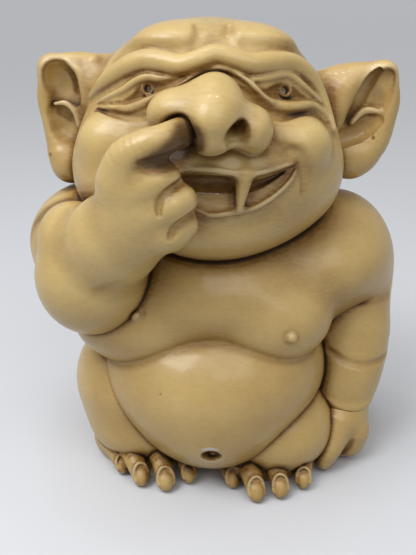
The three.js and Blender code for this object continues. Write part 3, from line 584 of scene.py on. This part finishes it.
def toeOn(foot, x, y, lean, nail):  # a foot with one more toe, its wrinkles, cuticle and nail
    ahead = np.array((math.sin(math.radians(lean)), -math.cos(math.radians(lean)), 0))
    across = np.array((-ahead[1], ahead[0], 0))

    def back(distance, height, sideways=0.0):
        return np.array((x, y, 0)) - distance * ahead + sideways * across + np.array((0, 0, height))

    toe = roll([(*back(d, h), nail + more) for d, h, more in legSizes["shaft"]])
    wide = nail + wrinkle["wider"]
    lines = []
    for distance, depth in wrinkle["places"]:
        line = [back(distance, wrinkle["height"], w * wide) for w in wrinkle["across"]]
        lines.append(([(*place, wrinkle["width"]) for place in line], depth))
    foot = press(legBlend["toe"], foot, tooled(toe, *lines))
    upward = np.array((0, 0, math.sin(slope))) - ahead * math.cos(slope)
    normal = np.array((0, 0, math.cos(slope))) + ahead * math.sin(slope)
    middle = back(plate["back"], plate["height"])
    arch = []
    for turn in np.radians(np.linspace(*rim["turns"], 11)):
        place = nail * (math.cos(turn) * rim["across"] * across + math.sin(turn) * rim["along"] * upward)
        rise = rim["low"] + rim["rise"] * max(0, math.sin(turn))
        arch.append((*(middle + place + rise * normal), rim["thick"]))
    foot = press(legBlend["cuticle"], foot, roll(arch, 2))
    cap = lump(middle, nail * np.array(plate["radii"]), (plate["slope"], 0, lean))
    return press(legBlend["nail"], foot, cap)


legs = {}
feet = {}
for side in ("left", "right"):
    legs[side] = press(legBlend["thigh"], *lumps(legSizes[side]["thigh"]))
    feet[side] = lump(*legSizes[side]["foot"])
    for toe in legSizes[side]["toes"]:
        feet[side] = toeOn(feet[side], *toe)
print("legs and feet shaped")

# Where the castings meet: each overlaps the one it is bonded to

table = level(0)
glueGap = -2.0
legFoot = level(6)
handFoot = level(0.6)
lap = 2.5
wrist = {"point": (-58, -78, 178), "normal": (14, -14, 34)}
seam = armSizes["leftSeam"]
rebate = torsoSizes["rebate"]


def halves(cut):  # the two sides of a cut, each with a lap over it
    over = Vector(cut["normal"]).normalized() * lap
    upper = beyond(Vector(cut["point"]) - over, cut["normal"])
    lower = beyond(Vector(cut["point"]) + over, [-n for n in cut["normal"]])
    return upper, lower


def plugSkin(points):  # the round hole in the torso's floor that the base plate fills
    around = np.hypot(points[:, 0], points[:, 1]) - rebate["radius"]
    return np.maximum(around, points[:, 2] - rebate["deep"])


upperHand, lowerArm = halves(wrist)
aboveSeam, belowSeam = halves(seam)
shoulderTop = within(leftArm, aboveSeam)
leftLimb = within(leftArm, belowSeam)
plug = Clay(plugSkin, (-rebate["radius"], -rebate["radius"], 0),
            (rebate["radius"], rebate["radius"], rebate["deep"]))
pieces = {
    "torso_casting": scoop(sharp, within(press(sharp, torso, shoulderTop), table), plug),
    "head_casting": cutBack(head, glueGap, torso),
    "left_ear_casting": cutBack(ears["left"], glueGap, head),
    "right_ear_casting": cutBack(ears["right"], glueGap, head),
    "left_arm_casting": cutBack(leftLimb, glueGap, legs["left"], belly),
    "left_hand_casting": within(cutBack(leftHand, glueGap, leftArm, torso, legs["left"], feet["left"]),
                                handFoot),
    "right_arm_casting": within(cutBack(rightWhole, glueGap, torso, head), lowerArm),
    "right_hand_casting": within(cutBack(rightWhole, glueGap, torso, head), upperHand),
    "left_leg_casting": within(cutBack(legs["left"], glueGap, torso), legFoot),
    "right_leg_casting": within(cutBack(legs["right"], glueGap, torso), legFoot),
    "left_foot_casting": within(cutBack(feet["left"], glueGap, torso, legs["left"]), table),
    "right_foot_casting": within(cutBack(feet["right"], glueGap, torso, legs["right"]), table),
}
wholeFigure = press(sharp, torso, head, *ears.values(), leftArm, leftHand, rightWhole,
                    *legs.values(), *feet.values())

# Where the paint is gone and the pale casting shows: pupils, the navel's upper rim, the mouth's shelf
chipSizes = {
    "navel": [(-4, 44, 0.9), (1, 45.5, 1.3), (7, 44.5, 0.9)],
    "shelf": [(-6, 206, 0.4), (4, 205.5, 0.5), (13, 205, 0.3)],
}
chips = [roll(onFront(torso, chipSizes["navel"])), roll(onFront(head, chipSizes["shelf"])), *pupils]

# Where painted shade goes beyond the creases, mixed with the brown glaze, and how much of it; where painted
# light makes the face and right hand paler; and where painted light lifts the shade under the nose
glazeShadeAndLightSizes = {
    # finger, armFold, corner, mouth, eyes and the feet: painted shade, with some of the real brown glaze
    "finger": [(-34, -112, 231.5, 1), (-27, -111, 232.5, 4), (-20, -109, 234.5, 6.5), (-12, -102, 240, 9)],
    "armFold": [(-72, -30, 188, 4), (-92, -29, 185, 5), (-106, -27, 176, 5), (-113, -25, 163, 4),
                (-115, -24, 148, 2)],
    "corner": [(-23, 228, 6), (-15, 232, 6)],
    "fade": 6, "footShare": 0.35,
    "shares": {"finger": 1.0, "armFold": 0.8, "corner": 1.0, "mouth": 0.4, "eyes": 0.5},
    # pale: painted light, the face and right hand paler where light falls on them
    "pale": [((0, -55, 240), (75, 50, 50)), ((-50, -90, 200), (40, 38, 50))], "paleFade": 30,
    # painted light under the nose, taking back the painted shade there
    "wiped": [((11, -88, 227.5), (19, 14, 7))], "wipedFade": 8,
}
glazeAndShadeShares = glazeShadeAndLightSizes["shares"]
glazedAndShaded = [
    (roll(glazeShadeAndLightSizes["finger"]), glazeAndShadeShares["finger"]),
    (roll(glazeShadeAndLightSizes["armFold"]), glazeAndShadeShares["armFold"]),
    (roll(onFront(head, glazeShadeAndLightSizes["corner"])), glazeAndShadeShares["corner"]),
    (roll(headSizes["mouthShelf"]), glazeAndShadeShares["mouth"]),
    *[(roll(onFront(skull, eyes[side]["opening"])), glazeAndShadeShares["eyes"]) for side in ("left", "right")],
]

# Clay to mesh

meshSizes = {
    "plain": 1.2, "fine": 0.85, "quickPlain": 2.0, "quickFine": 1.2, "mostTriangles": 190000,
    "coarser": 4, "around": 6, "nearSkin": 1.3, "atOnce": 200000,
}
# wash: the real brown wash in creases together with painted crease shade; shade: painted shade wherever the
# figure hides a point, as under the chin, nose and arms; edge: painted highlights with drybrush wear on
# ridges
paintReaches = {"wash": ((1.5, 3, 5), 1), "shade": ((5, 11, 21), 1), "edge": ((2.5, 5), -1)}
fineNames = ("hand", "foot", "ear", "head")


def inChunks(form, points):
    count = max(1, len(points) // meshSizes["atOnce"])
    return np.concatenate([form.at(part) for part in np.array_split(points, count)])


def fieldGrid(form, voxel):  # coarse all over, fine near the skin
    finer = meshSizes["coarser"]
    coarse = voxel * finer
    low = form.low - meshSizes["around"]
    count = np.ceil((form.high + meshSizes["around"] - low) / coarse).astype(int) + 1
    axes = [low[i] + coarse * np.arange(count[i]) for i in range(3)]
    grid = inChunks(form, np.stack(np.meshgrid(*axes, indexing="ij"), -1).reshape(-1, 3)).reshape(count)
    for axis in range(3):
        place = np.arange((count[axis] - 1) * finer + 1) / finer
        below = np.minimum(place.astype(int), count[axis] - 2)
        share = (place - below).reshape([-1 if i == axis else 1 for i in range(3)])
        grid = np.take(grid, below, axis) * (1 - share) + np.take(grid, below + 1, axis) * share
    skin = np.argwhere(np.abs(grid) < coarse * meshSizes["nearSkin"])
    grid[tuple(skin.T)] = inChunks(form, low + skin * voxel)
    return grid.astype(np.float32), low


def castMesh(name, form, voxel):
    grid, low = fieldGrid(form, voxel)
    volume = openvdb.FloatGrid(farAway)
    volume.copyFromArray(grid)
    points, quads = volume.convertToQuads(0.0)
    points = low + points * voxel
    mesh = bpy.data.meshes.new(name)
    mesh.from_pydata((points / 1000).tolist(), [], quads.tolist())
    mesh.polygons.foreach_set("use_smooth", np.ones(len(mesh.polygons), bool))
    made = bpy.data.objects.new(name, mesh)
    scene.collection.objects.link(made)
    share = meshSizes["mostTriangles"] / (2 * len(mesh.polygons))
    if share < 1:  # fewer faces where the skin is flattest
        bpy.context.view_layer.objects.active = made
        made.modifiers.new("thinned", "DECIMATE").ratio = share
        bpy.ops.object.modifier_apply(modifier="thinned")
    return made


def addPaintMarks(made):  # how far each point lies in a crease or on an edge of the whole figure, for the wash with painted shade and for the painted highlights
    mesh = made.data
    spots = np.zeros(len(mesh.vertices) * 3)
    mesh.vertices.foreach_get("co", spots)
    spots = spots.reshape(-1, 3) * 1000
    facing = np.zeros(len(mesh.vertices) * 3)
    mesh.vertex_normals.foreach_get("vector", facing)
    facing = facing.reshape(-1, 3)
    marks = {}
    for name, (reaches, way) in paintReaches.items():
        marks[name] = np.zeros(len(spots))
        for reach in reaches:
            free = way * inChunks(wholeFigure, spots + way * reach * facing)
            marks[name] += np.clip(1 - free / reach, 0, 1) / len(reaches)
    marks["chip"] = np.clip(1 - np.min([chip.at(spots) / 2 + 0.5 for chip in chips], 0), 0, 1)
    # painted shade with some brown glaze, strongest under the finger and in the notch, and all over the
    # feet below the belly
    layers = [share * np.clip(1 - form.at(spots) / glazeShadeAndLightSizes["fade"], 0, 1) for form, share in glazedAndShaded]
    if "foot" in made.name:
        layers.append(np.full(len(spots), glazeShadeAndLightSizes["footShare"]))
    marks["glaze"] = np.max(layers, 0)
    # painted light: the paler face and hand, and the lighter patch under the nose
    for name in ("pale", "wiped"):
        nearest = np.min([lump(*p).at(spots) for p in glazeShadeAndLightSizes[name]], 0)
        marks[name] = np.clip(1 - nearest / glazeShadeAndLightSizes[name + "Fade"], 0, 1)
    for name, values in marks.items():
        mesh.attributes.new(name, "FLOAT", "POINT").data.foreach_set("value", values.astype(np.float32))


made = {}
for name, form in pieces.items():
    fine = any(word in name for word in fineNames)
    voxel = meshSizes["fine" if fine else "plain"]
    made[name] = castMesh(name.replace("_casting", ""), form, voxel)
    addPaintMarks(made[name])
    print(name, len(made[name].data.polygons), "faces")

# Materials


class Shade:  # a socket that takes part in sums
    tree = None

    def __init__(self, socket):
        self.socket = socket

    @classmethod
    def node(cls, kind, settings=None, **inputs):  # sockets by name, or in0, in1 by number
        made = cls.tree.nodes.new(kind)
        for key, value in (settings or {}).items():
            setattr(made, key, value)
        for key, value in inputs.items():
            byNumber = key.startswith("in") and key[2:].isdigit()
            target = made.inputs[int(key[2:]) if byNumber else key]
            if isinstance(value, Shade):
                cls.tree.links.new(value.socket, target)
            else:
                target.default_value = value
        return made

    def maths(self, operation, other, swap=False):
        pair = (other, self) if swap else (self, other)
        made = Shade.node("ShaderNodeMath", {"operation": operation}, in0=pair[0], in1=pair[1])
        return Shade(made.outputs[0])

    def __add__(self, other):
        return self.maths("ADD", other)

    __radd__ = __add__

    def __mul__(self, other):
        return self.maths("MULTIPLY", other)

    __rmul__ = __mul__

    def __sub__(self, other):
        return self.maths("SUBTRACT", other)

    def __rsub__(self, other):
        return self.maths("SUBTRACT", other, True)

    def clamp(self):
        return Shade(Shade.node("ShaderNodeClamp", Value=self).outputs[0])


def paint(red, green, blue):  # sRGB 0 to 255, as a shader colour
    shares = [c / 255 for c in (red, green, blue)]
    return (*[c / 12.92 if c < 0.0405 else ((c + 0.055) / 1.055) ** 2.4 for c in shares], 1)


def mixed(share, a, b):
    node = Shade.node("ShaderNodeMix", {"data_type": "RGBA"}, in0=share, in6=a, in7=b)
    return Shade(node.outputs[2])


def noise(place, scale, detail=3.0, roughness=0.5):
    made = Shade.node("ShaderNodeTexNoise", Vector=place, Scale=scale, Detail=detail, Roughness=roughness)
    return Shade(made.outputs[0])


def objectPlace():
    return Shade(Shade.node("ShaderNodeTexCoord").outputs["Object"])


def stretched(place, scale):
    return Shade(Shade.node("ShaderNodeMapping", Vector=place, Scale=scale).outputs[0])


def newMaterial(name):
    material = bpy.data.materials.new(name)
    material.use_nodes = True
    Shade.tree = material.node_tree
    return material, material.node_tree.nodes["Principled BSDF"]


def straightRay():  # 1 for what the camera sees itself or in a reflection
    path = Shade.node("ShaderNodeLightPath").outputs
    seen = Shade(path["Is Camera Ray"])
    mirrored = Shade(path["Is Glossy Ray"])
    through = Shade(path["Is Transmission Ray"])
    return (seen + mirrored + through).clamp()


def feed(shader, socket, value):
    Shade.tree.links.new(value.socket, shader.inputs[socket])


def bumped(shader, strength, distance, height):
    made = Shade.node("ShaderNodeBump", Strength=strength, Distance=distance, Height=height)
    feed(shader, "Normal", Shade(made.outputs[0]))


# wash and deep serve the real brown wash and also painted shade and shadow; rub serves drybrush wear and
# painted highlights
castingFinish = {
    "ivory": paint(214, 186, 121), "tan": paint(190, 156, 92), "rub": paint(236, 219, 174),
    "wash": paint(130, 90, 30), "deep": paint(60, 38, 6), "plaster": paint(214, 210, 204),
    "roughness": 0.42, "coat": 0.4, "coatRoughness": 0.11,
    "cloud": 28.0, "lumps": 75.0, "grain": 420.0, "fine": 1400.0, "streak": 700.0,
    "stroke": (0.25, 0.25, 1.0), "bump": 0.3, "bumpHeight": 0.0012,
}


def mark(name):  # a value stored on the mesh
    return Shade(Shade.node("ShaderNodeAttribute", {"attribute_name": name}).outputs["Fac"])


def castingMaterial():  # ivory paint, a brown wash rubbed off the high places, clear varnish; painted shade and shadow in creases, recesses and under overhangs, painted highlights on ridges, painted light on the face, hand and under the nose
    material, shader = newMaterial("antiquedCasting")
    place = objectPlace()
    cloud = noise(place, castingFinish["cloud"], 4.0)
    lumpy = noise(place, castingFinish["lumps"], 2.0)
    grain = noise(place, castingFinish["grain"], 3.0)
    fine = noise(place, castingFinish["fine"], 2.0)
    streak = noise(stretched(place, castingFinish["stroke"]), castingFinish["streak"], 3.0, 0.65)
    # painted light: the face and right hand pushed towards ivory where the light falls on them
    body = mixed((cloud * 1.4 - 0.05 - mark("pale") * 0.45).clamp(), castingFinish["ivory"],
                 castingFinish["tan"])
    body = mixed(((streak - 0.45) * 1.6 + (grain - 0.5) * 0.8).clamp() * 0.22, body, castingFinish["wash"])
    # painted highlights with drybrush wear: convex ridges lightened towards pale cream
    body = mixed((mark("edge") * 1.9 - 0.35 + (grain - 0.5) * 0.5).clamp() * 0.5, body,
                 castingFinish["rub"])
    # painted shade: the wash colour laid on creases, recesses and overhangs by how hidden each point is,
    # over the real brown wash and glaze; the painted light under the nose takes some back
    low = mark("wash") * 1.7 + mark("shade") * 1.1 + mark("glaze") - mark("wiped") * 0.9 - 0.16
    washAndPaintedShade = (low.clamp() * (streak * 0.9 + 0.45)).clamp()
    body = mixed(washAndPaintedShade, body, castingFinish["wash"])
    # painted shadow with the real wash: the deepest creases, the finger's underside and the other glazed
    # places go towards near black
    thick = ((mark("glaze") - 0.55) * 1.6).clamp()
    creaseWashAndShadow = (mark("wash") - 0.38) * 2.4 + (mark("shade") - 0.6) * 0.6
    creaseWashAndShadow = creaseWashAndShadow + (grain - 0.5) * 0.3 - mark("wiped") * 1.2
    body = mixed((creaseWashAndShadow.clamp() + thick).clamp(), body, castingFinish["deep"])
    bare = ((mark("chip") - 0.5 + (grain - 0.5) * 0.5) * 8.0).clamp()
    body = mixed(bare, body, castingFinish["plaster"])
    feed(shader, "Base Color", body)
    feed(shader, "Roughness", (grain - 0.5) * 0.16 + washAndPaintedShade * 0.2 + bare * 0.3 + castingFinish["roughness"])
    feed(shader, "Coat Weight", (1.0 - washAndPaintedShade * 0.8) * castingFinish["coat"])
    shader.inputs["Coat Roughness"].default_value = castingFinish["coatRoughness"]
    height = lumpy * 0.8 + grain * 0.22 + streak * 0.1 + fine * 0.06
    bumped(shader, castingFinish["bump"], castingFinish["bumpHeight"], height)
    return material


beechFinish = {
    "pale": paint(212, 172, 122), "dark": paint(188, 143, 94), "fleck": paint(128, 86, 50),
    "stretch": (1.0, 1.0, 0.12), "rings": 90.0, "flecks": 1600.0, "roughness": 0.52, "bumpHeight": 0.0002,
}


def beechMaterial():  # long grain with short dark flecks
    material, shader = newMaterial("beechRod")
    along = stretched(objectPlace(), beechFinish["stretch"])
    wave = Shade.node("ShaderNodeTexWave", {"bands_direction": "X"}, Vector=along,
                      Scale=beechFinish["rings"], Distortion=4.0, Detail=3.0)
    rings = Shade(wave.outputs["Fac"])
    fleck = ((noise(along, beechFinish["flecks"], 2.0) - 0.6) * 5.0).clamp()
    wood = mixed(rings, beechFinish["pale"], beechFinish["dark"])
    feed(shader, "Base Color", mixed(fleck * 0.6, wood, beechFinish["fleck"]))
    feed(shader, "Roughness", rings * 0.12 + beechFinish["roughness"])
    bumped(shader, 0.3, beechFinish["bumpHeight"], rings + fleck * 0.5)
    return material


boardFinish = {
    "pale": paint(118, 84, 54), "dark": paint(78, 52, 32), "fibres": 1500.0,
    "stretches": ((1.0, 0.15, 1.0), (0.15, 1.0, 1.0)), "roughness": 0.55, "bumpHeight": 0.0002,
}


def boardMaterial():  # pressed wood fibres in all directions
    material, shader = newMaterial("pressedBoard")
    place = objectPlace()
    along, across = [noise(stretched(place, s), boardFinish["fibres"]) for s in boardFinish["stretches"]]
    fibres = (along + across) * 0.5
    feed(shader, "Base Color", mixed((fibres * 2.4 - 0.7).clamp(), boardFinish["pale"],
                                     boardFinish["dark"]))
    feed(shader, "Roughness", fibres * 0.25 + boardFinish["roughness"])
    bumped(shader, 0.4, boardFinish["bumpHeight"], fibres)
    return material


feltFinish = {
    "dark": paint(30, 50, 38), "pale": paint(58, 86, 64), "fuzz": 2600.0, "mat": 160.0,
    "roughness": 0.88, "sheen": 0.4, "bumpHeight": 0.0004,
}


def feltMaterial():  # matted wool: fuzz and slight pilling
    material, shader = newMaterial("greenFelt")
    place = objectPlace()
    fuzz = noise(place, feltFinish["fuzz"], 4.0, 0.7)
    mat = noise(place, feltFinish["mat"], 3.0)
    share = (fuzz * 0.9 + mat * 0.5 - 0.2).clamp()
    feed(shader, "Base Color", mixed(share, feltFinish["dark"], feltFinish["pale"]))
    feed(shader, "Roughness", fuzz * 0.1 + feltFinish["roughness"])
    shader.inputs["Sheen Weight"].default_value = feltFinish["sheen"]
    bumped(shader, 0.7, feltFinish["bumpHeight"], fuzz + mat * 0.4)
    return material


casting = castingMaterial()
beech = beechMaterial()
baseMaterials = {"base_plate": boardMaterial(), "base_felt": feltMaterial()}

for name, piece in made.items():
    piece.data.materials.append(casting)
    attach(piece, "root")
    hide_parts(name)
for name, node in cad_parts.items():
    if name in made:
        continue
    node.data.materials.clear()
    node.data.materials.append(baseMaterials.get(name, beech))
print("materials done")

# Floor, light and camera

bpy.ops.mesh.primitive_plane_add(size=60)
floor = bpy.context.object
floor.name = "floor"
floorFinish = {"seen": paint(218, 221, 227), "bounce": paint(150, 150, 150), "roughness": 0.6}
floorMaterial, floorShader = newMaterial("paleFloor")
feed(floorShader, "Base Color", mixed(straightRay(), floorFinish["bounce"], floorFinish["seen"]))
floorShader.inputs["Roughness"].default_value = floorFinish["roughness"]
floor.data.materials.append(floorMaterial)
floor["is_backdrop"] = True

world = bpy.data.worlds.new("softRoom")
scene.world = world
world.use_nodes = True
Shade.tree = world.node_tree
room = {"light": (1, 0.98, 0.95, 1), "strength": 0.3, "backdrop": paint(180, 182, 186)}
ambient = Shade.node("ShaderNodeBackground", Color=room["light"], Strength=room["strength"])
backdrop = Shade.node("ShaderNodeBackground", Color=room["backdrop"], Strength=1.0)
shaders = [Shade(node.outputs[0]) for node in (ambient, backdrop)]
both = Shade.node("ShaderNodeMixShader", in0=straightRay(), in1=shaders[0], in2=shaders[1])
Shade.tree.links.new(both.outputs[0], Shade.tree.nodes["World Output"].inputs[0])

lamps = {
    "softSky": {"kind": "SUN", "at": (-0.3, -0.1, 1.0), "energy": 1.1, "angle": 60},
    "window": {"kind": "AREA", "at": (-0.65, -0.55, 1.25), "energy": 8.4, "size": 0.7},
    "ceilingLeft": {"kind": "AREA", "at": (-0.1, 0.02, 1.0), "energy": 0.25, "size": 0.05},
    "ceilingRight": {"kind": "AREA", "at": (0.14, -0.02, 1.0), "energy": 0.25, "size": 0.05},
    "fill": {"kind": "AREA", "at": (0.35, -0.75, 1.05), "energy": 3.4, "size": 0.8},
}
lampTarget = Vector((0, 0, 0.17))
for name, lamp in lamps.items():
    bpy.ops.object.light_add(type=lamp["kind"], location=lamp["at"])
    light = bpy.context.object
    light.name = name
    light.data.energy = lamp["energy"]
    if lamp["kind"] == "SUN":
        light.data.angle = math.radians(lamp["angle"])
    else:
        light.data.size = lamp["size"]
    light.rotation_euler = (lampTarget - Vector(lamp["at"])).to_track_quat("-Z", "Y").to_euler()

view = {"at": (0, -0.451, 0.305), "tilt": 68, "sensor": 36, "focus": 670, "tall": 555}
bpy.ops.object.camera_add(location=view["at"], rotation=(math.radians(view["tilt"]), 0, 0))
camera = bpy.context.object
camera.data.sensor_width = view["sensor"]
camera.data.lens = view["sensor"] * view["focus"] / view["tall"]
scene.camera = camera
scene.view_settings.view_transform = "Standard"

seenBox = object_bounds()
for label, box in (("cad box", cadBox), ("seen box", seenBox)):
    print(label, [[round(c, 3) for c in v] for v in box])
